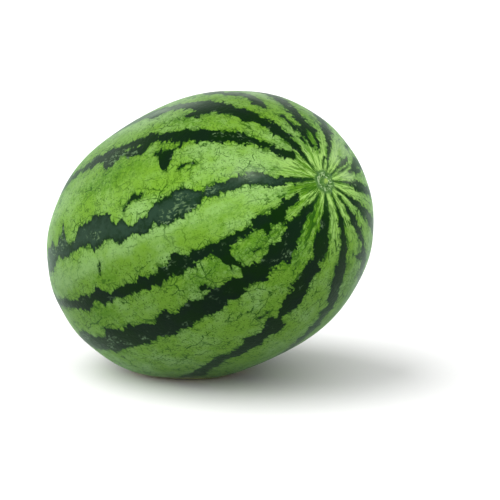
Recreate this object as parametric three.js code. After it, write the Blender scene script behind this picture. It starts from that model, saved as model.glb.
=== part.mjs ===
// A whole watermelon, lying on its side with the stem end raised.
// Millimetres, +Z up. The origin is on the surface it lies on, under the middle of its box.
import * as THREE from 'three';

// Body: the axis runs from the blossom end to the stem end, and each end has its own outline.
const stemLength = 146; // along the axis, from the widest section to the stem end
const blossomLength = 137; // along the axis, from the widest section to the blossom end
const halfWidth = 125; // across the axis, level
const halfHeight = 115.5; // across the axis, in the upright plane
const stemBluntness = 2.4; // exponent of the outline: 2 is an ellipse, more is blunter
const blossomBluntness = 2.21;

// Low ribs that run from end to end, with a furrow between each two.
const ribCount = 13;
const ribHeight = 0.5; // from the mean surface, fading out at both ends
const furrowAngle = 14; // degrees round the axis, from the level side up to a furrow

// How it lies.
const axisTilt = 25.6; // degrees, stem end up
const axisHeight = 114.6; // centre of the widest section above the surface
const flatRounding = 1.5; // the rim of the flat spot blends in up to this height

// Stem scar: a corky nub inside a ring of lumps, in a shallow dimple.
const dimpleDepth = 2;
const dimpleRadius = 20;
const collarRadius = 8.5;
const collarWidth = 2.6;
const collarHeight = 1.6;
const collarLumps = 7;
const nubRadius = 3.2;
const nubHeight = 3.4;

// Blossom scar: a low corky button in a shallow dish.
const dishDepth = 1.6;
const dishRadius = 12;
const buttonRadius = 4.5;
const buttonHeight = 1.2;

// Facets: rings lie closer together on the two scars than on the body.
const sides = 78;
const stemScarReach = 14; // distance from the axis
const stemScarRings = 9;
const shoulderReach = 34;
const shoulderRings = 5;
const blossomScarReach = 18;
const blossomScarRings = 7;
const bodyRings = 36;

const rindGreen = 0x4f8a34;
const meanRadius = (halfWidth + halfHeight) / 2;

function steps(from, to, count) {
  return Array.from({ length: count }, (_, i) => from + ((to - from) * i) / count);
}

// Outline of a lengthwise section, by the angle seen from the centre, 0 at the stem end.
function outlinePoint(angle) {
  const atStem = angle < Math.PI / 2;
  const length = atStem ? stemLength : blossomLength;
  const bluntness = atStem ? stemBluntness : blossomBluntness;
  const along = Math.abs(Math.cos(angle)) / length;
  const across = Math.sin(angle) / meanRadius;
  const reach = (along ** bluntness + across ** bluntness) ** (-1 / bluntness);
  return new THREE.Vector2(reach * Math.sin(angle), reach * Math.cos(angle));
}

function bump(distance, width) {
  return Math.exp(-((distance / width) ** 2));
}

function plateau(distance, radius) {
  return 1 / (1 + (distance / radius) ** 6);
}

function ribRise(radius, longitude) {
  const fade = (radius / meanRadius) ** 2;
  const furrow = THREE.MathUtils.degToRad(furrowAngle);
  return -ribHeight * fade * Math.cos(ribCount * (longitude - furrow));
}

function stemScarRise(radius, longitude) {
  const lumps = 0.65 + 0.35 * Math.cos(collarLumps * longitude);
  const collar = collarHeight * lumps * bump(radius - collarRadius, collarWidth);
  return collar + nubHeight * plateau(radius, nubRadius) - dimpleDepth * bump(radius, dimpleRadius);
}

function blossomScarRise(radius) {
  return buttonHeight * plateau(radius, buttonRadius) - dishDepth * bump(radius, dishRadius);
}

// The lowest skin lies flat on the surface, with a smooth turn up into the body.
function settle(height) {
  if (height > flatRounding) return height;
  if (height < -flatRounding) return 0;
  return (height + flatRounding) ** 2 / (4 * flatRounding);
}

function turnOutline() {
  const stemScarEdge = stemScarReach / stemLength;
  const shoulderEdge = shoulderReach / stemLength;
  const blossomScarEdge = Math.PI - blossomScarReach / blossomLength;
  const angles = [
    ...steps(0, stemScarEdge, stemScarRings),
    ...steps(stemScarEdge, shoulderEdge, shoulderRings),
    ...steps(shoulderEdge, blossomScarEdge, bodyRings),
    ...steps(blossomScarEdge, Math.PI, blossomScarRings),
    Math.PI,
  ];
  return new THREE.LatheGeometry(angles.reverse().map(outlinePoint), sides);
}

// Ribs, scars and the oval section, with the axis still along Y and the level side along Z.
function shapeSkin(geometry) {
  const position = geometry.attributes.position;
  const point = new THREE.Vector3();
  for (let i = 0; i < position.count; i += 1) {
    point.fromBufferAttribute(position, i);
    const radius = Math.hypot(point.x, point.z);
    const longitude = Math.atan2(-point.x, point.z);
    const swell = radius > 0 ? 1 + ribRise(radius, longitude) / radius : 1;
    const rise = point.y > 0 ? stemScarRise(radius, longitude) : -blossomScarRise(radius);
    position.setXYZ(
      i,
      point.x * swell * (halfHeight / meanRadius),
      point.y + rise,
      point.z * swell * (halfWidth / meanRadius),
    );
  }
}

// Turns the axis up at the stem end, towards +X, and sets the fruit down on its flat spot.
function layDown(geometry) {
  const tilt = THREE.MathUtils.degToRad(axisTilt);
  const axis = new THREE.Vector3(Math.cos(tilt), 0, Math.sin(tilt));
  const levelSide = new THREE.Vector3(0, -1, 0);
  const underside = new THREE.Vector3().crossVectors(axis, levelSide);
  const pose = new THREE.Matrix4().makeBasis(underside, axis, levelSide);
  geometry.applyMatrix4(pose.setPosition(0, 0, axisHeight));
  const position = geometry.attributes.position;
  for (let i = 0; i < position.count; i += 1) {
    position.setZ(i, settle(position.getZ(i)));
  }
}

function centreOnOrigin(geometry) {
  geometry.computeBoundingBox();
  const middle = geometry.boundingBox.getCenter(new THREE.Vector3());
  geometry.translate(-middle.x, -middle.y, 0);
}

const geometry = turnOutline();
shapeSkin(geometry);
layDown(geometry);
centreOnOrigin(geometry);
geometry.computeVertexNormals();

const rind = new THREE.MeshStandardMaterial({ color: rindGreen, roughness: 0.4, metalness: 0 });
const melon = new THREE.Mesh(geometry, rind);
melon.name = 'watermelon';

const part = new THREE.Group();
part.add(melon);

export default part;
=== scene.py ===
import math
import random

import bmesh
import bpy
import numpy as np
from mathutils import Color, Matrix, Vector


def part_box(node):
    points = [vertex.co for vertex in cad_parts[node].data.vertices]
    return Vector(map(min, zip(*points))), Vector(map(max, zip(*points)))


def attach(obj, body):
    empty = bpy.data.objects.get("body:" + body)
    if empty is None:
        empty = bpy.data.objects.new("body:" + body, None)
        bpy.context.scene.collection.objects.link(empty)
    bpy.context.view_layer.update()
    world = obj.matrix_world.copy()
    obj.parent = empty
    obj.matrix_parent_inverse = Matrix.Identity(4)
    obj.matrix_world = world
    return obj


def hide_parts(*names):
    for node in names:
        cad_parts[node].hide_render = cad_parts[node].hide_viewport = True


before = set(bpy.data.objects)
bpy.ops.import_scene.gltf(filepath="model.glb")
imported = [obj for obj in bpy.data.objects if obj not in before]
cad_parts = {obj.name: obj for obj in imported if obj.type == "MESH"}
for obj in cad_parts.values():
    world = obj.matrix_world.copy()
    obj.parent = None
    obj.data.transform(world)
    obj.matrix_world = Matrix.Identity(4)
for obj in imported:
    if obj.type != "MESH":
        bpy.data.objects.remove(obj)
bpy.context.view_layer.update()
mm = 0.001
print("frame loaded:", sorted(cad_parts))

# The fruit's form, in millimetres and degrees. The axis runs from blossom end to stem end.
melonForm = {
    "stemLength": 146.0,  # from the widest section to each end
    "blossomLength": 137.0,
    "halfWidth": 125.0,
    "halfHeight": 115.5,
    "stemBluntness": 2.4,
    "blossomBluntness": 2.21,
    "axisTilt": 25.6,
    "axisHeight": 114.6,
    "flatRounding": 1.5,
    "ribCount": 13,
    "ribHeight": 0.5,
    "furrowAngle": 14.0,
    "sides": 330,
    "ringSpacing": [(0, 0.5), (16, 1.0), (40, 1.8), (400, 0.9)],  # from this far along, this far apart
    "outlineSteps": 6000,
    "mergeGap": 1e-4,
}
meanRadius = (melonForm["halfWidth"] + melonForm["halfHeight"]) / 2

# Both scars, in millimetres from the axis.
scarForm = {
    "dimpleDepth": 2.0,
    "dimpleRadius": 20.0,
    "collarRadius": 8.5,
    "collarWidth": 2.6,
    "collarHeight": 1.6,
    "collarLumps": 7,
    "lumpDepth": 0.35,  # share of the collar's height
    "nubRadius": 3.2,
    "nubHeight": 3.4,
    "dishDepth": 1.6,
    "dishRadius": 12.0,
    "buttonRadius": 4.5,
    "buttonHeight": 1.2,
    "edgeSharpness": 6,
}


def outline(angle):
    # one lengthwise section: distance along the axis and from it, 0 at the stem end
    atStem = angle < math.pi / 2
    length = np.where(atStem, melonForm["stemLength"], melonForm["blossomLength"])
    power = np.where(atStem, melonForm["stemBluntness"], melonForm["blossomBluntness"])
    along = np.abs(np.cos(angle)) / length
    across = np.abs(np.sin(angle)) / meanRadius
    reach = (along ** power + across ** power) ** (-1 / power)
    return reach * np.cos(angle), reach * np.abs(np.sin(angle))


fineAngles = np.linspace(0, math.pi, melonForm["outlineSteps"] + 1)
fineX, fineR = outline(fineAngles)
fineAlong = np.concatenate([[0], np.cumsum(np.hypot(np.diff(fineX), np.diff(fineR)))])
skinLength = fineAlong[-1]  # over the skin from scar to scar


def radiusAt(along):
    return np.interp(along, fineAlong, fineR)


def bump(distance, width):
    return np.exp(-(distance / width) ** 2)


def plateau(distance, radius):
    return 1 / (1 + (distance / radius) ** scarForm["edgeSharpness"])


def ribRise(radius, around):
    fade = (radius / meanRadius) ** 2
    furrow = math.radians(melonForm["furrowAngle"])
    return -melonForm["ribHeight"] * fade * np.cos(melonForm["ribCount"] * (around - furrow))


def stemScarRise(radius, around):
    depth = scarForm["lumpDepth"]
    lumps = 1 - depth + depth * np.cos(scarForm["collarLumps"] * around)
    ring = bump(radius - scarForm["collarRadius"], scarForm["collarWidth"])
    collar = scarForm["collarHeight"] * lumps * ring
    nub = scarForm["nubHeight"] * plateau(radius, scarForm["nubRadius"])
    return collar + nub - scarForm["dimpleDepth"] * bump(radius, scarForm["dimpleRadius"])


def blossomScarRise(radius):
    button = scarForm["buttonHeight"] * plateau(radius, scarForm["buttonRadius"])
    return button - scarForm["dishDepth"] * bump(radius, scarForm["dishRadius"])


def settle(height):
    # the lowest skin lies flat, and turns up smoothly at the rim of the flat spot
    soft = melonForm["flatRounding"]
    rim = (height + soft) ** 2 / (4 * soft)
    return np.where(height > soft, height, np.where(height < -soft, 0, rim))


def ringPlaces():
    places = []
    starts = melonForm["ringSpacing"]
    for i, (begin, spacing) in enumerate(starts):
        end = starts[i + 1][0] if i + 1 < len(starts) else skinLength
        count = max(1, round((end - begin) / spacing))
        places += list(np.linspace(begin, end, count, endpoint=False))
    return np.array(places + [skinLength])


def spinOutline():
    angles = np.interp(ringPlaces(), fineAlong, fineAngles)
    lengthwise, across = outline(angles)
    across[0] = across[-1] = 0
    bm = bmesh.new()
    verts = [bm.verts.new((r, 0, x)) for x, r in zip(lengthwise, across)]
    for first, second in zip(verts, verts[1:]):
        bm.edges.new((first, second))
    bmesh.ops.spin(bm, geom=bm.verts[:] + bm.edges[:], cent=(0, 0, 0), axis=(0, 0, 1), dvec=(0, 0, 0),
                   angle=2 * math.pi, steps=melonForm["sides"], use_merge=True, use_duplicate=False)
    bmesh.ops.remove_doubles(bm, verts=bm.verts[:], dist=melonForm["mergeGap"])
    return bm


def shapeSkin(bm):
    # ribs, scars, oval section, tilt and flat spot; returns where each vertex lies on the skin
    spun = np.array([v.co for v in bm.verts])
    radius = np.hypot(spun[:, 0], spun[:, 1])
    around = np.arctan2(spun[:, 1], spun[:, 0])
    along = np.interp(np.arctan2(radius, spun[:, 2]), fineAngles, fineAlong)
    rise = np.where(spun[:, 2] > 0, stemScarRise(radius, around), -blossomScarRise(radius))
    swollen = radius + ribRise(radius, around)
    tilt = math.radians(melonForm["axisTilt"])
    axis = np.array([math.cos(tilt), 0, math.sin(tilt)])
    upward = np.array([-math.sin(tilt), 0, math.cos(tilt)])
    level = np.array([0, -1, 0])
    skin = np.outer(spun[:, 2] + rise, axis)
    skin += np.outer(swollen * np.cos(around) * melonForm["halfWidth"] / meanRadius, level)
    skin += np.outer(swollen * np.sin(around) * melonForm["halfHeight"] / meanRadius, upward)
    skin[:, 2] = settle(skin[:, 2] + melonForm["axisHeight"])
    skin *= mm
    low, high = skin.min(axis=0), skin.max(axis=0)
    boxLow, boxHigh = (np.array(corner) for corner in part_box("watermelon"))
    skin = boxLow + (skin - low) * (boxHigh - boxLow) / (high - low)  # same box as the solid
    for vert, place in zip(bm.verts, skin):
        vert.co = place
    bm.normal_update()
    bmesh.ops.recalc_face_normals(bm, faces=bm.faces[:])
    return along, np.degrees(around), skin


def makeMelon():
    bm = spinOutline()
    along, around, skin = shapeSkin(bm)
    mesh = bpy.data.meshes.new("melon")
    bm.to_mesh(mesh)
    bm.free()
    mesh.shade_smooth()
    melon = bpy.data.objects.new("melon", mesh)
    bpy.context.collection.objects.link(melon)
    return melon, along, around, skin


melon, along, around, skin = makeMelon()
perDegree = np.radians(radiusAt(along))  # millimetres of skin to a degree round the axis
print("melon skin:", len(melon.data.polygons), "faces")

# Dark stripes: millimetres along the skin from the stem scar, and both edges in degrees round
# the axis, 0 on the level side and 90 on top. Each one wanders on from its last place to the blossom end.
stripes = [
    [(9, 57, 60), (13, 58, 62), (18, 59.5, 65), (25, 61.5, 69), (32, 63, 71), (40, 62.5, 71.5),
     (50, 61, 72), (60, 61.5, 72), (70, 63, 71), (80, 61, 70), (85, 59.5, 70), (90, 61, 69),
     (100, 61.5, 69), (110, 61, 70), (117, 59.5, 71), (124, 59, 71.5), (130, 63, 71), (140, 64, 70),
     (150, 65, 70), (160, 63, 70), (166, 60, 70), (172, 60, 69), (180, 64, 71), (200, 64, 72),
     (220, 63, 71)],
    [(31, 48, 51), (34, 45, 55), (36, 44, 58), (38, 42, 55), (41, 41, 52), (46, 41, 48.5), (55, 42, 47),
     (70, 43, 48), (80, 41, 49), (84, 41, 50), (88, 40, 47.5), (100, 40, 46.5), (112, 39, 46.5),
     (116, 41, 46.5), (125, 41, 47.5), (140, 41.5, 46), (150, 42, 46), (155, 42, 47.5), (158, 38, 48),
     (165, 38, 47), (176, 38, 47), (179, 41, 47), (188, 41, 46), (192, 38, 47), (200, 37, 47),
     (204, 38, 47), (207, 42.5, 47.5), (220, 43, 47.5), (231, 43, 46.5), (240, 44, 47),
     (250, 44.5, 47.5), (260, 45, 48)],
    [(9, 16, 20), (12, 15, 21), (15, 12, 20), (21, 9, 17), (33, 7, 14), (40, 8.5, 12.5),
     (46, 7.5, 12.5), (50, 6, 15), (53, 5, 16), (55, 9, 18), (60, 10, 19), (68, 10, 19), (75, 10, 17),
     (80, 9, 16.5), (86, 8, 14.5), (91, 8, 14), (96, 8, 14), (100, 7, 12.5), (106, 8, 11),
     (110, 6.5, 12), (116, 4.5, 14.5), (121, 3, 16), (126, 3, 16.5), (131, 2, 14), (140, 3, 13),
     (146, 3, 12), (150, 4, 10.5), (154, 3, 8.5), (160, 2, 7), (165, 3, 7), (172, 4, 7),
     (175, 3.5, 8.5), (181, 3, 11), (186, 2, 11), (190, 4, 12), (195, 5, 15), (202, 6, 16),
     (210, 5, 17), (215, 5, 17), (221, 7, 16), (230, 8, 17), (234, 8, 14), (240, 9, 12), (245, 9, 11.5),
     (250, 8, 13), (254, 7, 16), (257, 8, 16.5), (265, 9, 17.5), (269, 10, 14), (275, 9.5, 14.5),
     (279, 7.5, 18), (290, 6.5, 17.5), (296, 6, 18), (300, 8.5, 18)],
    [(32, -13, -10), (35, -17, -8), (40, -18, -10), (44, -19.5, -10), (46, -20, -9), (48, -20, -13),
     (55, -22, -15), (62, -22, -14.5), (70, -22, -13), (75, -20, -13), (80, -19, -15), (90, -18.5, -15),
     (100, -19, -15), (110, -19, -14), (120, -18, -13.5), (130, -18, -13.5), (138, -19, -13.5),
     (142, -19, -11), (145, -19, -9.5), (147, -19, -11.5), (150, -19, -13.5), (155, -19, -14),
     (162, -19, -13), (168, -19, -15), (175, -19, -15), (181, -19, -13), (188, -18, -15),
     (195, -18, -13), (205, -17, -14), (212, -17, -13), (220, -16, -14), (226, -16, -11),
     (230, -16, -9), (235, -15, -11), (243, -14, -12), (250, -16, -11), (255, -17, -9), (260, -15, -11),
     (270, -14, -10), (280, -12, -8), (290, -11, -8), (300, -10, -7)],
    [(13, -43, -41), (20, -42.5, -38.5), (26, -43, -35.5), (29, -43.5, -33), (34, -42.5, -31.5),
     (40, -42, -31), (46, -42.5, -31), (52, -44, -31), (57, -45, -31), (62, -46, -34), (70, -48, -35),
     (75, -49.5, -34), (79, -48, -33), (82, -44.5, -35), (90, -44, -36), (96, -44, -35.5),
     (101, -43, -34), (105, -42, -33), (110, -41, -36), (114, -42, -35), (119, -43, -33),
     (124, -43, -34), (133, -41, -32), (146, -42, -34), (158, -40, -31), (171, -41, -33),
     (183, -40, -30), (196, -41, -32), (208, -39, -31), (221, -40, -29), (233, -38, -30),
     (245, -38, -27), (249, -39, -26), (254, -39, -29), (262, -39, -30), (270, -37, -29),
     (278, -37, -26), (285, -36, -25), (293, -36, -25), (302, -35, -27), (312, -34, -29)],
    [(9, -75, -70), (13, -77, -68), (19, -78, -66), (28, -77.5, -63), (35, -77, -62.5), (45, -76, -62),
     (54, -75.5, -61), (60, -73.5, -63.5), (65, -74, -66), (72, -73, -64.5), (80, -72.5, -62.5),
     (86, -71, -62)],
    [(9, -112, -107), (14, -111, -105), (20, -107, -100), (29, -104.5, -97), (41, -102.5, -95.5),
     (50, -100.5, -94), (60, -98.5, -91.5), (70, -98.5, -90.5), (76, -98.5, -88.5), (86, -99, -87)],
    [(17, -131, -124), (20, -134, -121), (22, -128, -122), (26, -126, -121), (32, -127, -120),
     (37, -126, -119), (41, -126, -115), (46, -126, -117), (49, -126, -120), (56, -127, -121),
     (60, -125, -122), (68, -125, -122), (73, -125, -121), (77, -125, -118), (85, -126, -118),
     (95, -128, -118)],
    [(9, -152, -147), (13, -151, -145), (20, -148.5, -142), (30, -147.5, -140.5), (35, -148.5, -140),
     (50, -149, -140), (60, -150, -142), (75, -152, -142), (90, -153, -143)],
    [(9, -178, -174), (16, -176, -172), (25, -173, -170), (33, -173, -170), (37, -175, -163),
     (42, -176, -163), (50, -173, -163), (60, -172, -165), (75, -173, -167)],
    [(35, 171, 172.5), (41, 169, 173), (46, 166, 175), (50, 164, 176), (60, 163, 175), (70, 164, 174)],
    [(11, 128, 132), (15, 128, 132), (19, 127, 130), (22, 125, 129), (26, 125, 129), (32, 124, 130),
     (40, 125, 131), (48, 122, 132), (60, 122, 131), (75, 122, 131)],
    [(26, 106, 107.5), (30, 106, 108.5), (34, 107, 110), (38, 105.5, 111.5), (41, 104, 107.5),
     (44, 103, 108), (48, 101, 110), (51, 98, 114), (54, 97, 105), (62, 97, 104), (75, 96, 104),
     (90, 97, 105)],
    [(82, 79, 81), (88, 80, 84), (96, 81, 86), (105, 82, 88), (120, 80, 87)],
    [(60, 151, 153), (75, 150, 153), (86, 148, 154), (96, 146, 153)],
]

# Side branches and links between stripes, which end where they are.
branches = [
    [(110, 61, 63), (118, 57.5, 62), (126, 56, 60), (132, 55, 58), (136, 56, 57)],
    [(53, -33, -19), (55.5, -33, -19), (58, -33, -20)],
    [(102, -20, -18), (104, -22, -18), (106, -25, -18), (108, -26, -18), (110, -26.5, -18),
     (112, -25, -18), (114, -22, -18), (116, -19, -18)],
    [(103, -33, -29), (104.6, -33, -25), (106.4, -30, -25), (108, -27, -25)],
    [(68, -24, -20), (70.5, -25, -20), (73, -23.5, -20)],
    [(72, -117, -111), (75, -119, -113), (79, -121, -117)],
    [(129, 34, 36), (130.5, 28, 36), (133, 26, 36), (138, 26, 36), (139.5, 29.5, 36), (142, 32, 36),
     (145, 34, 35.5)],
    [(10, 153.5, 157.5), (22, 153.5, 156), (28, 153, 157.5), (33, 154, 159.5), (36, 155, 162.5),
     (40, 155, 158), (46, 156, 157)],
    [(29, 93, 95), (33, 91.5, 95.5), (37, 92, 95), (41, 89.5, 93.5), (45, 88, 95), (49, 87, 100),
     (53, 88, 103)],
]

# Small dark spots and lines of their own.
marks = [
    [(12, 109.5, 113), (16, 110, 114), (20, 112, 116), (24, 115, 119.5)],
    [(36, 83, 86), (42, 82, 85)],
    [(50, 83, 87), (60, 84, 86), (68, 83, 86)],
    [(109, 25.6, 27.2), (113, 26.4, 28), (118, 26.4, 27.8), (121, 25.4, 27), (124, 24, 25.8),
     (127, 22.8, 24)],
    [(163.5, 18.3, 19.2), (166, 17.2, 19), (168.5, 16, 17.8), (171, 15.3, 16.9), (174, 14.6, 15.7),
     (178, 13.8, 14.4)],
    [(156.5, 18, 18.8), (159.5, 16.7, 17.6), (162, 17.1, 18), (165, 17.8, 18.8)],
    [(124, 37.4, 37.9), (128.5, 35.8, 36.6)],
    [(213.2, -1.6, -0.6), (214.6, -2.8, -0.2), (216, -4, -1.4), (217.6, -4.8, -3.2)],
    [(134, -30.5, -28), (138, -30.5, -28), (142, -30, -28.5)],
    [(120, 40, 40.8), (127, 39.4, 40.6), (134, 39.8, 40.6)],
    [(20, 163.2, 164.6), (27, 164.4, 165.8), (33, 164.4, 165.6), (41, 162.4, 163.6)],
    [(252.5, 16, 18), (254, 16, 22.5), (255.5, 16, 21.5), (258, 16, 18)],
    [(71, -24.5, -23), (74, -27.5, -26.2), (79, -29.5, -28.4), (84, -30.4, -29.4), (90, -29.6, -28.6)],
]

# Light slits inside a dark stripe.
slits = [
    [(162, 42.2, 43.2), (173, 41.8, 43.8), (184, 42, 43)],
    [(54, 170.6, 171.8), (59, 170.4, 172), (64, 171, 172)],
]

stripeForm = {
    "farOutside": -60.0,  # millimetres, where no stripe is near
    "markRagged": 0.55,  # a small mark keeps its outline better than a stripe
}

# Small marks on the far side, laid by chance.
strayMarks = {
    "seed": 21,
    "count": 16,
    "along": (95, 365),
    "around": (98, 312),
    "halfLength": (3, 8),  # millimetres
    "halfWidth": (1.2, 3.6),
    "tipWidth": 1 / 3,  # share of the width in the middle
}

# How a stripe goes on over the far side.
wander = {
    "seed": 8,
    "step": (5, 11),  # millimetres between two places
    "halfWidth": 6.0,
    "leastHalfWidth": 1.5,
    "widthChange": 2.2,
    "drift": 1.1,  # degrees from one place to the next
    "driftKept": 0.8,
    "taperLength": 120,  # millimetres
    "leastTaper": 0.35,
    "leastRadius": 4,
    "endGap": 14,  # from the blossom end
}


def carryOn(stations, rng):
    # goes on to the blossom end with a middle line and a width that wander
    reached, low, high = stations[-1]
    middle = (low + high) / 2
    offset = 0
    longer = list(stations)
    while reached < skinLength - wander["endGap"]:
        reached += rng.uniform(*wander["step"])
        offset = wander["driftKept"] * offset + rng.gauss(0, wander["drift"])
        taper = min(1, (skinLength - reached) / wander["taperLength"] + wander["leastTaper"])
        half = max(wander["leastHalfWidth"], rng.gauss(wander["halfWidth"], wander["widthChange"])) * taper
        halfAngle = math.degrees(half / max(radiusAt(reached), wander["leastRadius"]))
        longer.append((reached, middle + offset - halfAngle, middle + offset + halfAngle))
    return longer


def turnFrom(middle):
    # degrees from here round the axis to each vertex, the shorter way
    return (around - middle + 180) % 360 - 180


def insideBand(stations):
    # millimetres inside the band, below zero outside it
    places, low, high = (np.array(column, float) for column in zip(*stations))
    middle = (low.mean() + high.mean()) / 2
    turned = turnFrom(middle) + middle
    fromLow = turned - np.interp(along, places, low)
    fromHigh = np.interp(along, places, high) - turned
    side = np.minimum(fromLow, fromHigh) * perDegree
    return np.minimum(side, np.minimum(along - places[0], places[-1] - along))


def scatterMarks():
    rng = random.Random(strayMarks["seed"])
    scattered = []
    for _ in range(strayMarks["count"]):
        place = rng.uniform(*strayMarks["along"])
        turn = rng.uniform(*strayMarks["around"])
        length = rng.uniform(*strayMarks["halfLength"])
        half = math.degrees(rng.uniform(*strayMarks["halfWidth"]) / radiusAt(place))
        lean = rng.uniform(-half, half)
        tip = half * strayMarks["tipWidth"]
        scattered.append([(place - length, turn - lean - tip, turn - lean + tip),
                          (place, turn - half, turn + half),
                          (place + length, turn + lean - tip, turn + lean + tip)])
    return scattered


def deepest(bands):
    depth = np.full(len(along), stripeForm["farOutside"])
    for stations in bands:
        depth = np.maximum(depth, insideBand(stations))
    return depth


def addFloat(name, values):
    layer = melon.data.attributes.new(name, "FLOAT", "POINT")
    layer.data.foreach_set("value", np.asarray(values, np.float32))


def addVector(name, values):
    layer = melon.data.attributes.new(name, "FLOAT_VECTOR", "POINT")
    layer.data.foreach_set("vector", np.asarray(values, np.float32).ravel())


def layStripes():
    rng = random.Random(wander["seed"])
    wide = deepest([carryOn(stations, rng) for stations in stripes] + branches)
    narrow = deepest(marks + scatterMarks())
    addFloat("stripeDepth", np.minimum(np.maximum(wide, narrow), -deepest(slits)))
    addFloat("ragged", np.where(narrow > wide, stripeForm["markRagged"], 1.0))


# Where the rind's tone changes, and where light or shade is painted on it: along, around, and how far it
# reaches along and across, in millimetres.
tints = {
    # deeper green patches: partly the rind's own tone, partly painted shade on the lower bands
    "deepTintAndShade": [(190, 32, 44, 12), (182, 29, 26, 7), (88, -27, 24, 10), (212, -7, 18, 7),
                 (240, -20, 20, 10), (130, -25, 30, 8), (95, -3, 22, 8), (20, -8, 9, 3),
                 (72, -53, 30, 11), (45, -48, 16, 8), (48, 62, 14, 6), (40, 100, 14, 8), (38, -5, 7, 2),
                 (125, 54, 24, 8), (66, 112, 24, 8), (150, 112, 40, 12), (240, 165, 45, 14),
                 (120, -110, 40, 12), (230, -85, 40, 12), (300, 60, 30, 12), (330, -150, 30, 10)],
    # paler patches: partly the rind's own tone, partly painted sheen where a softbox shines on it
    "paleTintAndPaintedSheen": [(64, 26, 20, 11), (46, 36, 16, 9), (55, 56, 20, 8), (45, 80, 18, 8), (58, 3, 18, 9),
                 (140, 2, 40, 8), (185, 2, 34, 9), (170, 57, 30, 9), (165, 13, 20, 9), (108, 34, 16, 6),
                 (230, 1, 28, 9), (275, 0, 30, 12), (262, 32, 24, 14), (30, 146, 28, 14),
                 (55, 140, 24, 14), (36, 117, 20, 8), (24, 88, 14, 8), (22, -84, 14, 6),
                 (24, -110, 12, 5), (28, -133, 20, 6), (32, -157, 24, 8), (40, 180, 24, 8),
                 (190, 140, 40, 14), (140, -160, 40, 14), (280, -120, 40, 14), (330, 110, 30, 12)],
    "calmTint": [(140, -4, 46, 11), (205, -1, 34, 12), (160, 26, 30, 12), (85, 0, 22, 10),
                 (265, -2, 30, 12), (170, 150, 40, 16), (240, -100, 40, 16), (300, 20, 30, 14)],
    "smudgeTint": [(16, -9, 5, 1.8), (27, -12, 7, 2.2), (23, 0, 6, 1.2), (33, 2, 6, 1.5),
                   (26, -5, 8, 1.6), (13, -43, 5, 3.0), (18, -27.5, 9, 1.2), (13, 15.5, 4, 2.0),
                   (30, 40.5, 4, 1.2), (58, 23, 8, 2.2), (79, 57, 5, 3.0), (14, 145, 4, 2.2),
                   (17, 186, 6, 1.4), (19, -125, 6, 2.0), (45, -50, 7, 2.4), (66, -28, 7, 2.0),
                   (240, -17, 10, 3.0), (205, -9, 12, 3.0)],
    "fleckTint": [(128, 7, 13, 8), (209, 10, 8, 5), (147, -13, 9, 5), (255, -33, 13, 9),
                  (96, 11, 10, 3), (195, 42, 14, 5), (175, 39, 10, 4), (92, 45, 14, 3), (257, 14, 9, 6),
                  (266, 14, 8, 5), (282, 14, 16, 8), (288, -29, 14, 6), (160, 127, 14, 8),
                  (220, 168, 12, 7), (190, -96, 14, 8), (130, -146, 12, 7), (270, 100, 12, 8),
                  (310, -60, 12, 8)],
    # painted highlight: pale grey-green patches standing for the sheen of a softbox on the skin
    "paintedHighlightTint": [(150, 69.5, 16, 7), (170, 66, 20, 7), (120, 88, 30, 12), (60, 150, 18, 14),
                 (36, 144, 16, 9), (32, 178, 12, 6), (70, 20, 14, 6), (200, 180, 60, 20),
                 (250, -130, 50, 20)],
    # lighter patches in the dark stripes: partly wax bloom, partly painted sheen
    "bloomAndSheenTint": [(60, 14, 30, 12), (100, 11, 30, 12), (140, 8, 30, 12), (180, 7, 30, 12),
                  (220, 12, 30, 14), (260, 13, 30, 14), (295, 13, 30, 14), (180, 150, 60, 12),
                  (230, -122, 60, 12)],
}

# The pale place it lay on in the field, in metres.
groundSpot = {
    "middle": (-0.026, 0.001),
    "reach": (0.062, 0.058),
    "fadeHeight": 0.05,
}

# The pattern's own coordinates, squeezed a little towards both ends, and fully for streaks.
patternMap = {
    "endSqueeze": 0.35,
    "streakGirth": 0.5,
    "streakLength": 0.25,
}


def tintMask(patches):
    mask = np.zeros(len(along))
    for place, turn, reachAlong, reachAcross in patches:
        mask += bump(along - place, reachAlong) * bump(turnFrom(turn) * perDegree, reachAcross)
    return np.minimum(mask, 1)


def roundAxis(girth, lengthwise):
    turn = np.radians(around)
    return np.column_stack([girth * np.cos(turn), girth * np.sin(turn), lengthwise])


def addSkinMaps():
    girth = meanRadius * (radiusAt(along) / meanRadius) ** patternMap["endSqueeze"]
    addVector("skinMap", roundAxis(girth, along))
    girth = meanRadius * patternMap["streakGirth"]
    addVector("streakMap", roundAxis(girth, along * patternMap["streakLength"]))
    layStripes()
    addFloat("fromStem", along)
    addFloat("fromBlossom", skinLength - along)
    for name, patches in tints.items():
        addFloat(name, tintMask(patches))
    normals = np.zeros(3 * len(along), np.float32)
    melon.data.vertex_normals.foreach_get("vector", normals)
    # how far each vertex faces down, read by the painted shade on the underside
    addFloat("facingDown", -normals[2::3])
    fromSpot = (skin[:, :2] - groundSpot["middle"]) / groundSpot["reach"]
    lift = skin[:, 2] / groundSpot["fadeHeight"]
    addFloat("groundSpot", np.hypot(fromSpot[:, 0], fromSpot[:, 1]) + lift)


addSkinMaps()
print("stripes laid on the skin")


def plug(tree, value, socket):
    # a socket takes another node's output or a plain value
    if isinstance(value, bpy.types.NodeSocket):
        tree.links.new(value, socket)
    else:
        socket.default_value = value


def addNode(tree, kind, inputs=None, **settings):
    made = tree.nodes.new(kind)
    for name, value in settings.items():
        setattr(made, name, value)
    for name, value in (inputs or {}).items():
        plug(tree, value, made.inputs[name])
    return made


def calc(tree, operation, *values):
    made = addNode(tree, "ShaderNodeMath", operation=operation)
    for value, socket in zip(values, made.inputs):
        plug(tree, value, socket)
    return made.outputs[0]


def times(tree, first, second):
    return calc(tree, "MULTIPLY", first, second)


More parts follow.
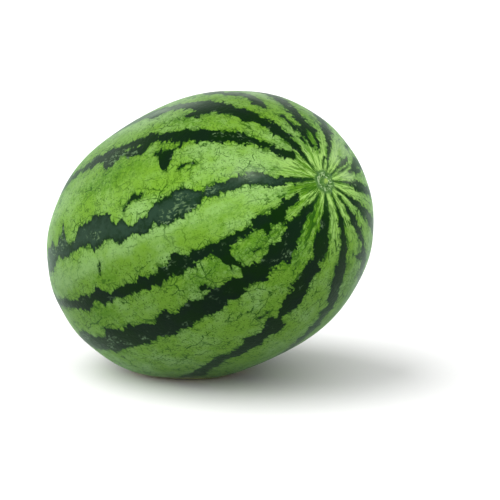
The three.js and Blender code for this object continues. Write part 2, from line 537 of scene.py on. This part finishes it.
def moved(tree, value, by, amount):
    # a value that some other one moves up by this much
    return calc(tree, "MULTIPLY_ADD", by, amount, value)


def offMiddle(tree, value, middle=0.5):
    return calc(tree, "SUBTRACT", value, middle)


def farFrom(tree, value, middle=0.5):
    return calc(tree, "ABSOLUTE", offMiddle(tree, value, middle))


def ramp(tree, value, low, high, toLow=0.0, toHigh=1.0):
    inputs = {"Value": value, "From Min": low, "From Max": high, "To Min": toLow, "To Max": toHigh}
    return addNode(tree, "ShaderNodeMapRange", inputs, interpolation_type="SMOOTHSTEP").outputs[0]


def blendColour(tree, factor, below, above, mode="MIX"):
    made = addNode(tree, "ShaderNodeMix", data_type="RGBA", blend_type=mode)
    sockets = {socket.identifier: socket for socket in made.inputs}
    plug(tree, factor, sockets["Factor_Float"])
    plug(tree, below, sockets["A_Color"])
    plug(tree, above, sockets["B_Color"])
    return next(socket for socket in made.outputs if socket.identifier == "Result_Color")


def colour(red, green, blue):
    # a colour as a paint program shows it, turned into light values
    linear = Color((red / 255, green / 255, blue / 255)).from_srgb_to_scene_linear()
    return (*linear, 1.0)


def readMask(tree, name):
    return addNode(tree, "ShaderNodeAttribute", attribute_name=name).outputs["Fac"]


def readMap(tree, name):
    return addNode(tree, "ShaderNodeAttribute", attribute_name=name).outputs["Vector"]


def scaled(tree, vector, factors):
    return addNode(tree, "ShaderNodeMapping", {"Vector": vector, "Scale": factors}).outputs[0]


def cells(tree, vector, size, feature="F1"):
    inputs = {"Vector": vector, "Scale": 1 / size}
    return addNode(tree, "ShaderNodeTexVoronoi", inputs, feature=feature).outputs["Distance"]


def noise(tree, vector, size, detail=2.0, roughness=0.5):
    inputs = {"Vector": vector, "Scale": 1 / size, "Detail": detail, "Roughness": roughness}
    return addNode(tree, "ShaderNodeTexNoise", inputs)


def mottle(tree, vector, *grain):
    return noise(tree, vector, *grain).outputs["Fac"]


def nearEnds(tree, low, high, toLow, toHigh):
    nearest = calc(tree, "MINIMUM", readMask(tree, "fromStem"), readMask(tree, "fromBlossom"))
    return ramp(tree, nearest, low, high, toLow, toHigh)


# The rind's colours and finish. Here and in the looks that follow, a noise is its size in millimetres,
# its detail and its roughness, and a range is where a change starts and ends, then the values there.
rindLook = {
    "light": colour(118, 165, 50),
    "pale": colour(142, 184, 102),
    "deep": colour(86, 138, 26),
    "vein": colour(36, 80, 14),
    "dark": colour(12, 41, 6),
    "darkCool": colour(14, 36, 18),
    "bloomAndSheen": colour(41, 65, 48),
    "fleck": colour(98, 126, 86),
    "paintedHighlight": colour(176, 196, 166),
    "stemPale": colour(162, 204, 106),
    "stemDark": colour(34, 76, 16),
    "smudge": colour(56, 102, 14),
    "paintedBellyShade": (0.53, 0.54, 0.62, 1.0),  # painted shade: what the skin that faces down is multiplied by, darker towards the underside
    "collar": colour(98, 138, 70),
    "collarGap": colour(68, 108, 48),
    "collarLump": colour(162, 188, 136),
    "nub": colour(144, 178, 82),
    "cork": colour(150, 130, 92),
    "ground": colour(224, 206, 142),
    "stripeRimRange": (-1.8, 0.0, 0.0, 0.7),  # millimetres inside a stripe
    "stripeRange": (-0.35, 0.5),
    "paintedHighlightNoise": (14.0, 3.0),
    "paintedHighlightRange": (0.3, 0.6, 0.08, 0.26),
    "paintedBellyShadeRange": (-0.5, 0.4),
    "groundNoise": (9.0, 3.0),
    "groundUneven": 0.5,
    "groundRange": (1.45, 0.8, 0.0, 0.85),
    "corkRange": (7.0, 4.0),
    "pimpleNoise": (3.0, 3.0),
    "crackDepth": 0.6,
    "bumpStrength": 0.12,
    "bumpDistance": 1.0 * mm,
    "roughNoise": (6.0, 2.0),
    "roughRange": (0.3, 0.7, 0.31, 0.43),
    "specular": 0.025,
    "sheen": 0.3,  # a dusting of wax, pale green where the skin turns away
    "sheenRoughness": 0.35,
    "sheenTint": (0.52, 0.92, 0.58, 1.0),
}

# The stripes' ragged edges. Each kind of cell has its shape, its size and how far it moves the edge.
edgeLook = {
    "lobes": ((0.8, 0.8, 1.05), 9.0, 5.0),
    "fringe": ((0.6, 0.6, 1.25), 3.2, 3.4),
    "fine": ((1.0, 1.0, 1.0), 1.5, 1.6),
    "spikeShape": (0.14, 0.14, 1.0),
    "spikeGap": 13.0,
    "spikeRange": (0.0, 0.09, 3.4, 0.0),
    "spikePatchNoise": (10.0, 2.0),
    "spikePatchRange": (0.5, 0.6),
    "endRange": (8.0, 60.0, 0.2, 1.0),
}


def stripeEdge(tree, skinMap):
    # rounded light lobes eat into the stripes, and dark points run out between them
    shift = 0.0
    for kind in ("lobes", "fringe", "fine"):
        shape, size, reach = edgeLook[kind]
        eaten = offMiddle(tree, cells(tree, scaled(tree, skinMap, shape), size))
        shift = moved(tree, shift, eaten, reach)
    spikeMap = scaled(tree, skinMap, edgeLook["spikeShape"])
    fromSpike = cells(tree, spikeMap, edgeLook["spikeGap"], "DISTANCE_TO_EDGE")
    spikes = ramp(tree, fromSpike, *edgeLook["spikeRange"])
    patch = ramp(tree, mottle(tree, skinMap, *edgeLook["spikePatchNoise"]), *edgeLook["spikePatchRange"])
    shift = calc(tree, "ADD", shift, times(tree, spikes, patch))
    shift = times(tree, shift, readMask(tree, "ragged"))
    return moved(tree, readMask(tree, "stripeDepth"), shift, nearEnds(tree, *edgeLook["endRange"]))


# Lines in the light rind. Cracks and nets have a cell size, a line width, a strength, and the size
# of the patches that show them and where those start.
lineLook = {
    "cracks": (14.0, 0.65, 1.0, 17.0, 0.5),
    "net": (6.0, 0.5, 0.72, 9.0, 0.53),
    "fineNet": (2.6, 0.38, 0.6, 6.0, 0.53),
    "patchFade": 0.1,
    "crackShape": (1.0, 1.0, 0.75),
    "bendNoise": (6.0, 3.0),
    "bendReach": (6.0, 6.0, 6.0),
    "cuspRange": (0.0, 0.08, 0.8, 0.0),
    "cuspByStripe": (-7.0, -2.0),
    "strokeShape": (0.3, 0.3, 1.7),
    "strokeNoise": (2.2, 2.0),
    "strokeRange": (0.55, 0.68, 0.0, 0.6),
    "strokeByStripe": (-8.0, -1.0),
    "endRange": (15.0, 60.0, 0.25, 1.0),
}


def brokenLines(tree, vector, skinMap, size, width, strength, patchSize, patchStart):
    # lines between cells, only inside some patches
    fromLine = cells(tree, vector, size, "DISTANCE_TO_EDGE")
    patch = ramp(tree, mottle(tree, skinMap, patchSize), patchStart, patchStart + lineLook["patchFade"])
    return times(tree, ramp(tree, fromLine, 0.0, width / size, strength, 0.0), patch)


def rindLines(tree, skinMap):
    bend = noise(tree, skinMap, *lineLook["bendNoise"]).outputs["Color"]
    bent = addNode(tree, "ShaderNodeVectorMath", {0: bend, 1: lineLook["bendReach"], 2: skinMap},
                   operation="MULTIPLY_ADD").outputs[0]
    lines = brokenLines(tree, scaled(tree, bent, lineLook["crackShape"]), skinMap, *lineLook["cracks"])
    for kind in ("net", "fineNet"):
        lines = calc(tree, "MAXIMUM", lines, brokenLines(tree, bent, skinMap, *lineLook[kind]))
    depth = readMask(tree, "stripeDepth")
    lobeShape, lobeSize, _ = edgeLook["lobes"]
    fromCusp = cells(tree, scaled(tree, skinMap, lobeShape), lobeSize, "DISTANCE_TO_EDGE")
    cusps = ramp(tree, fromCusp, *lineLook["cuspRange"])
    cusps = times(tree, cusps, ramp(tree, depth, *lineLook["cuspByStripe"]))
    strokeMap = scaled(tree, skinMap, lineLook["strokeShape"])
    strokes = ramp(tree, mottle(tree, strokeMap, *lineLook["strokeNoise"]), *lineLook["strokeRange"])
    strokes = times(tree, strokes, ramp(tree, depth, *lineLook["strokeByStripe"]))
    lines = calc(tree, "MAXIMUM", lines, calc(tree, "MAXIMUM", cusps, strokes))
    return times(tree, lines, nearEnds(tree, *lineLook["endRange"]))


# The light rind between the stripes. A lift is how much a tint adds to its noise.
lightLook = {
    "paleNoise": (26.0, 4.0, 0.6),
    "paleAndSheenLift": 0.25,
    "paleRange": (0.4, 0.8),
    "grainNoise": (3.4, 4.0, 0.7),
    "deepTintAndShadeLift": 0.2,
    "patchNoise": (16.0, 3.0),
    "patchLift": 0.3,
    "grainRange": (0.48, 0.78, 0.0, 0.85),
    "calmRange": (0.0, 1.0, 1.0, 0.5),
    "speckNoise": (1.3, 1.0),
    "speckRange": (0.62, 0.69, 0.0, 0.85),
}


def lightRind(tree, skinMap, lines):
    # the pale patches are partly painted sheen
    pale = moved(tree, mottle(tree, skinMap, *lightLook["paleNoise"]), readMask(tree, "paleTintAndPaintedSheen"),
                 lightLook["paleAndSheenLift"])
    rind = blendColour(tree, ramp(tree, pale, *lightLook["paleRange"]), rindLook["light"], rindLook["pale"])
    # the deeper patches are partly painted shade
    grain = moved(tree, mottle(tree, skinMap, *lightLook["grainNoise"]), readMask(tree, "deepTintAndShade"),
                  lightLook["deepTintAndShadeLift"])
    patches = offMiddle(tree, mottle(tree, skinMap, *lightLook["patchNoise"]))
    grain = moved(tree, grain, patches, lightLook["patchLift"])
    calm = ramp(tree, readMask(tree, "calmTint"), *lightLook["calmRange"])
    grain = times(tree, ramp(tree, grain, *lightLook["grainRange"]), calm)
    rind = blendColour(tree, grain, rind, rindLook["deep"])
    specks = ramp(tree, mottle(tree, skinMap, *lightLook["speckNoise"]), *lightLook["speckRange"])
    rind = blendColour(tree, times(tree, specks, calm), rind, rindLook["vein"])
    return blendColour(tree, times(tree, lines, calm), rind, rindLook["vein"])


# Streaks that run out from both ends over the light rind, with dark dashes and smudges among them.
streakLook = {
    "tintLift": 0.05,
    "paleNoise": (7.0, 5.0, 0.75),
    "paleRange": (0.47, 0.54),
    "darkNoise": (4.6, 4.0, 0.75),
    "darkRange": (0.54, 0.59, 0.0, 0.85),
    "furrowNoise": (6.0, 2.0),
    "furrowRange": (0.01, 0.05, 0.75, 0.0),
    "endRange": (12.0, 70.0, 0.9, 0.0),
    "dashLift": 0.09,
    "dashNoise": (2.6, 2.0),
    "dashRange": (0.54, 0.585, 0.0, 0.9),
    "dashPatchNoise": (8.0, 2.0),
    "dashPatchRange": (0.42, 0.52),
    "dashEndRange": (50.0, 95.0, 1.0, 0.0),
    "smudgeNoise": (3.4, 4.0, 0.7),
    "smudgeMiddle": 0.52,
    "smudgeContrast": 8.0,
    "smudgeRange": (0.6, 1.0, 0.0, 0.85),
    "smudgeTintRange": (0.02, 0.25),
}


def endStreaks(tree, skinMap, rind):
    streakMap = readMap(tree, "streakMap")
    lean = calc(tree, "SUBTRACT", readMask(tree, "deepTintAndShade"), readMask(tree, "paleTintAndPaintedSheen"))
    pale = moved(tree, mottle(tree, streakMap, *streakLook["paleNoise"]), lean, streakLook["tintLift"])
    streaks = blendColour(tree, ramp(tree, pale, *streakLook["paleRange"]), rindLook["stemPale"],
                          rindLook["deep"])
    dark = moved(tree, mottle(tree, streakMap, *streakLook["darkNoise"]), lean, streakLook["tintLift"])
    streaks = blendColour(tree, ramp(tree, dark, *streakLook["darkRange"]), streaks, rindLook["smudge"])
    furrow = farFrom(tree, mottle(tree, streakMap, *streakLook["furrowNoise"]))
    streaks = blendColour(tree, ramp(tree, furrow, *streakLook["furrowRange"]), streaks, rindLook["smudge"])
    rind = blendColour(tree, nearEnds(tree, *streakLook["endRange"]), rind, streaks)
    dashes = moved(tree, mottle(tree, streakMap, *streakLook["dashNoise"]), lean, streakLook["dashLift"])
    patch = ramp(tree, mottle(tree, skinMap, *streakLook["dashPatchNoise"]), *streakLook["dashPatchRange"])
    dashes = times(tree, ramp(tree, dashes, *streakLook["dashRange"]), patch)
    dashes = times(tree, dashes, nearEnds(tree, *streakLook["dashEndRange"]))
    return blendColour(tree, dashes, rind, rindLook["vein"])


def smudges(tree, rind):
    smudgeTint = readMask(tree, "smudgeTint")
    uneven = mottle(tree, readMap(tree, "streakMap"), *streakLook["smudgeNoise"])
    uneven = offMiddle(tree, uneven, streakLook["smudgeMiddle"])
    smudge = moved(tree, smudgeTint, uneven, streakLook["smudgeContrast"])
    smudge = times(tree, ramp(tree, smudge, *streakLook["smudgeRange"]),
                   ramp(tree, smudgeTint, *streakLook["smudgeTintRange"]))
    return blendColour(tree, smudge, rind, rindLook["smudge"])


# The dark stripes, with wax bloom and painted sheen in their middles and pale flecks in patches.
darkLook = {
    "toneNoise": (20.0, 3.0),
    "toneRange": (0.35, 0.65),
    "bloomAndSheenToneRange": (0.25, 0.6, 0.5, 1.0),
    "bloomAndSheenEdgeRange": (0.5, 4.5, 0.25, 1.0),  # millimetres inside a stripe
    "bloomAndSheenNoise": (7.0, 4.0, 0.65),
    "bloomAndSheenRange": (0.38, 0.58, 0.6, 1.2),
    "fleckShape": (1.0, 1.0, 0.6),
    "fleckNoise": (2.2, 3.0, 0.65),
    "fleckRange": (0.5, 0.6),
    "fleckPatchNoise": (11.0, 2.0),
    "fleckLift": 0.3,
    "fleckPatchRange": (0.58, 0.74, 0.0, 0.95),
    "endRange": (9.0, 34.0, 0.85, 0.0),
}


def darkStripe(tree, skinMap, edge):
    tone = mottle(tree, skinMap, *darkLook["toneNoise"])
    stripe = blendColour(tree, ramp(tree, tone, *darkLook["toneRange"]), rindLook["dark"],
                         rindLook["darkCool"])
    # wax bloom and painted sheen in the middle of the stripes
    bloomAndSheen = times(tree, readMask(tree, "bloomAndSheenTint"), ramp(tree, tone, *darkLook["bloomAndSheenToneRange"]))
    bloomAndSheen = times(tree, bloomAndSheen, ramp(tree, edge, *darkLook["bloomAndSheenEdgeRange"]))
    cloudy = ramp(tree, mottle(tree, skinMap, *darkLook["bloomAndSheenNoise"]), *darkLook["bloomAndSheenRange"])
    stripe = blendColour(tree, times(tree, bloomAndSheen, cloudy), stripe, rindLook["bloomAndSheen"])
    fleckMap = scaled(tree, skinMap, darkLook["fleckShape"])
    flecks = ramp(tree, mottle(tree, fleckMap, *darkLook["fleckNoise"]), *darkLook["fleckRange"])
    patch = moved(tree, mottle(tree, skinMap, *darkLook["fleckPatchNoise"]), readMask(tree, "fleckTint"),
                  darkLook["fleckLift"])
    flecks = times(tree, flecks, ramp(tree, patch, *darkLook["fleckPatchRange"]))
    stripe = blendColour(tree, flecks, stripe, rindLook["fleck"])
    return blendColour(tree, nearEnds(tree, *darkLook["endRange"]), stripe, rindLook["stemDark"])


# The stem scar. Places are millimetres from its middle.
scarLook = {
    "gritNoise": (2.0 * mm, 3.0, 0.6),  # on object coordinates, so in metres
    "lumpNoise": (22.0, 1.0),
    "collarRange": (0.4, 0.6),
    "lumpPlace": 6.6,
    "lumpReach": (2.4, 0.6),
    "lumpGritRange": (0.45, 0.57),
    "lumpRange": (0.36, 0.48),
    "unevenness": 5.0,
    "nubRange": (3.0, 1.0),
    # painted shade: a dark ring in the recess round the raised nub
    "creaseShadePlace": 4.6,
    "creaseShadeReach": (0.9, 0.1),
    "creaseShadeRange": (0.56, 0.46),
    "rimPlace": 9.2,
    "rimReach": (1.4, 0.3, 0.0, 0.7),
    "edgeRange": (11.4, 9.2),
}


def stemScar(tree, rind):
    fromStem = readMask(tree, "fromStem")
    lumps = mottle(tree, readMap(tree, "streakMap"), *scarLook["lumpNoise"])
    grit = mottle(tree, addNode(tree, "ShaderNodeTexCoord").outputs["Object"], *scarLook["gritNoise"])
    collar = blendColour(tree, ramp(tree, grit, *scarLook["collarRange"]), rindLook["collarGap"],
                         rindLook["collar"])
    ring = ramp(tree, farFrom(tree, fromStem, scarLook["lumpPlace"]), *scarLook["lumpReach"])
    lump = times(tree, ramp(tree, grit, *scarLook["lumpGritRange"]),
                 ramp(tree, lumps, *scarLook["lumpRange"]))
    collar = blendColour(tree, times(tree, ring, lump), collar, rindLook["collarLump"])
    uneven = moved(tree, fromStem, offMiddle(tree, grit), scarLook["unevenness"])
    collar = blendColour(tree, ramp(tree, uneven, *scarLook["nubRange"]), collar, rindLook["nub"])
    # painted shade in the recess round the nub
    creaseShade = ramp(tree, farFrom(tree, uneven, scarLook["creaseShadePlace"]), *scarLook["creaseShadeReach"])
    creaseShade = times(tree, creaseShade, ramp(tree, lumps, *scarLook["creaseShadeRange"]))
    collar = blendColour(tree, creaseShade, collar, rindLook["vein"])
    rim = ramp(tree, farFrom(tree, fromStem, scarLook["rimPlace"]), *scarLook["rimReach"])
    collar = blendColour(tree, rim, collar, rindLook["collarGap"])
    return blendColour(tree, ramp(tree, fromStem, *scarLook["edgeRange"]), rind, collar)


def stripedRind(tree, skinMap, lines):
    edge = stripeEdge(tree, skinMap)
    light = smudges(tree, endStreaks(tree, skinMap, lightRind(tree, skinMap, lines)))
    light = blendColour(tree, ramp(tree, edge, *rindLook["stripeRimRange"]), light, rindLook["vein"])
    dark = darkStripe(tree, skinMap, edge)
    return blendColour(tree, ramp(tree, edge, *rindLook["stripeRange"]), light, dark)


def wholeRind(tree, skinMap, lines):
    rind = stripedRind(tree, skinMap, lines)
    # painted highlight: a pale grey-green sheen laid over the rind in patches
    paintedHighlight = ramp(tree, mottle(tree, skinMap, *rindLook["paintedHighlightNoise"]), *rindLook["paintedHighlightRange"])
    rind = blendColour(tree, times(tree, readMask(tree, "paintedHighlightTint"), paintedHighlight), rind, rindLook["paintedHighlight"])
    # painted shade: the skin that faces down is darkened, more the further it faces down
    paintedBellyShade = ramp(tree, readMask(tree, "facingDown"), *rindLook["paintedBellyShadeRange"])
    rind = blendColour(tree, paintedBellyShade, rind, rindLook["paintedBellyShade"], "MULTIPLY")
    spot = moved(tree, readMask(tree, "groundSpot"), mottle(tree, skinMap, *rindLook["groundNoise"]),
                 rindLook["groundUneven"])
    rind = blendColour(tree, ramp(tree, spot, *rindLook["groundRange"]), rind, rindLook["ground"])
    rind = stemScar(tree, rind)
    cork = ramp(tree, readMask(tree, "fromBlossom"), *rindLook["corkRange"])
    return blendColour(tree, cork, rind, rindLook["cork"])


def rindMaterial():
    material = bpy.data.materials.new("watermelonRind")
    material.use_nodes = True
    tree = material.node_tree
    tree.nodes.clear()
    skinMap = readMap(tree, "skinMap")
    lines = rindLines(tree, skinMap)
    height = moved(tree, mottle(tree, skinMap, *rindLook["pimpleNoise"]), lines, -rindLook["crackDepth"])
    bumpy = addNode(tree, "ShaderNodeBump", {"Height": height, "Strength": rindLook["bumpStrength"],
                                             "Distance": rindLook["bumpDistance"]})
    rough = ramp(tree, mottle(tree, skinMap, *rindLook["roughNoise"]), *rindLook["roughRange"])
    inputs = {"Base Color": wholeRind(tree, skinMap, lines), "Roughness": rough, "Normal": bumpy.outputs[0]}
    shader = addNode(tree, "ShaderNodeBsdfPrincipled", inputs)
    shader.inputs["Specular IOR Level"].default_value = rindLook["specular"]
    shader.inputs["Sheen Weight"].default_value = rindLook["sheen"]
    shader.inputs["Sheen Roughness"].default_value = rindLook["sheenRoughness"]
    shader.inputs["Sheen Tint"].default_value = rindLook["sheenTint"]
    output = addNode(tree, "ShaderNodeOutputMaterial")
    tree.links.new(shader.outputs[0], output.inputs["Surface"])
    return material


melon.data.materials.append(rindMaterial())
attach(melon, "root")
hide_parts("watermelon")
print("rind material made")

# Camera: how far it stands from the fruit's middle, and where that middle falls in the picture.
view = {
    "azimuth": 41.8,
    "elevation": 11.0,
    "lens": 129.6,
    "sensor": 36.0,
    "distance": 1.5235,
    "pictureSize": 500,
    "middlePixel": (204.36, 239.15),
    "ringSlack": 1.0,  # millimetres either side of the widest ring
}


def outward(azimuth, elevation):
    # from the fruit towards a camera or a lamp, azimuth 0 on the side that faces -Y
    turn, lift = math.radians(azimuth), math.radians(elevation)
    return Vector((math.sin(turn) * math.cos(lift), -math.cos(turn) * math.cos(lift), math.sin(lift)))


def melonMiddle():
    # midway over the widest ring, at the height of the axis
    fromWidest = np.abs(along - np.interp(math.pi / 2, fineAngles, fineAlong))
    ring = skin[fromWidest < view["ringSlack"]]
    return Vector(((ring[:, 0].min() + ring[:, 0].max()) / 2, 0, melonForm["axisHeight"] * mm))


def makeCamera():
    back = outward(view["azimuth"], view["elevation"])
    azimuth = math.radians(view["azimuth"])
    right = Vector((math.cos(azimuth), math.sin(azimuth), 0))
    up = back.cross(right)
    pixel = view["distance"] * view["sensor"] / view["lens"] / view["pictureSize"]  # metres a pixel covers
    shiftX, shiftY = ((view["pictureSize"] / 2 - place) * pixel for place in view["middlePixel"])
    camera = bpy.data.objects.new("camera", bpy.data.cameras.new("camera"))
    camera.data.lens = view["lens"]
    camera.data.sensor_width = view["sensor"]
    camera.location = melonMiddle() + right * shiftX - up * shiftY + back * view["distance"]
    camera.rotation_euler = (-back).to_track_quat("-Z", "Y").to_euler()
    bpy.context.collection.objects.link(camera)
    bpy.context.scene.camera = camera


makeCamera()
print("camera placed")

studio = {
    "floorSize": 40.0,
    "floorColour": (0.9, 0.9, 0.9, 1.0),
    "floorRoughness": 0.9,
    "floorSpecular": 0.1,
    "worldColour": (1.0, 1.0, 1.0, 1.0),
    "worldStrength": 0.13,
    "sunDistance": 3.0,
    # name: azimuth from the camera, elevation, watts a square metre, spread
    "floorSuns": {
        "leftFloorSun": (-88, 40, 4.0, 80.0),
        "rightFloorSun": (60, 66, 2.3, 110.0),
    },
    # name: azimuth from the camera, elevation, distance, width, height, watts
    "softboxes": {
        "frontSoftbox": (8, 44, 1.6, 1.2, 0.9, 19.2),
        "leftSoftbox": (-80, 10, 1.5, 1.7, 0.8, 8.0),
        "rearSoftbox": (188, 24, 1.9, 3.4, 1.0, 17.5),
        "rightSoftbox": (70, 42, 1.6, 1.1, 1.0, 4.6),
    },
}


def makeFloor():
    bm = bmesh.new()
    bmesh.ops.create_grid(bm, x_segments=2, y_segments=2, size=studio["floorSize"] / 2)
    mesh = bpy.data.meshes.new("studioFloor")
    bm.to_mesh(mesh)
    bm.free()
    floor = bpy.data.objects.new("studioFloor", mesh)
    material = bpy.data.materials.new("paleFloor")
    material.use_nodes = True
    shader = material.node_tree.nodes["Principled BSDF"]
    shader.inputs["Base Color"].default_value = studio["floorColour"]
    shader.inputs["Roughness"].default_value = studio["floorRoughness"]
    shader.inputs["Specular IOR Level"].default_value = studio["floorSpecular"]
    mesh.materials.append(material)
    bpy.context.collection.objects.link(floor)
    return floor


def lightOnly(lamp, lit):
    # a lamp that lights this object and no other
    group = bpy.data.collections.new("litBy" + lamp.name)
    group.objects.link(lit)
    lamp.light_linking.receiver_collection = group


def placeLamp(lamp, turn, lift, distance, lit):
    back = outward(view["azimuth"] + turn, lift)
    holder = bpy.data.objects.new(lamp.name, lamp)
    holder.location = Vector((0, 0, melonForm["axisHeight"] * mm)) + back * distance
    holder.rotation_euler = (-back).to_track_quat("-Z", "Y").to_euler()
    holder.visible_camera = False
    bpy.context.collection.objects.link(holder)
    lightOnly(holder, lit)


def makeFloorSuns(floor):
    # keep the floor white all over, with a soft shadow under the fruit
    for name, (turn, lift, watts, spread) in studio["floorSuns"].items():
        lamp = bpy.data.lights.new(name, "SUN")
        lamp.energy = watts
        lamp.angle = math.radians(spread)
        placeLamp(lamp, turn, lift, studio["sunDistance"], floor)


def makeSoftboxes():
    for name, (turn, lift, distance, width, height, watts) in studio["softboxes"].items():
        lamp = bpy.data.lights.new(name, "AREA")
        lamp.shape = "RECTANGLE"
        lamp.size = width
        lamp.size_y = height
        lamp.energy = watts
        placeLamp(lamp, turn, lift, distance, melon)


def makeWorld():
    # white behind the fruit, and dimmer as a light on it
    world = bpy.data.worlds.new("studio")
    world.use_nodes = True
    tree = world.node_tree
    background = tree.nodes["Background"]
    background.inputs["Color"].default_value = studio["worldColour"]
    seen = addNode(tree, "ShaderNodeLightPath").outputs["Is Camera Ray"]
    strength = ramp(tree, seen, 0.0, 1.0, studio["worldStrength"], 1.0)
    tree.links.new(strength, background.inputs["Strength"])
    bpy.context.scene.world = world


makeFloorSuns(makeFloor())
makeSoftboxes()
makeWorld()
bpy.context.scene.view_settings.view_transform = "Standard"
print("studio ready")
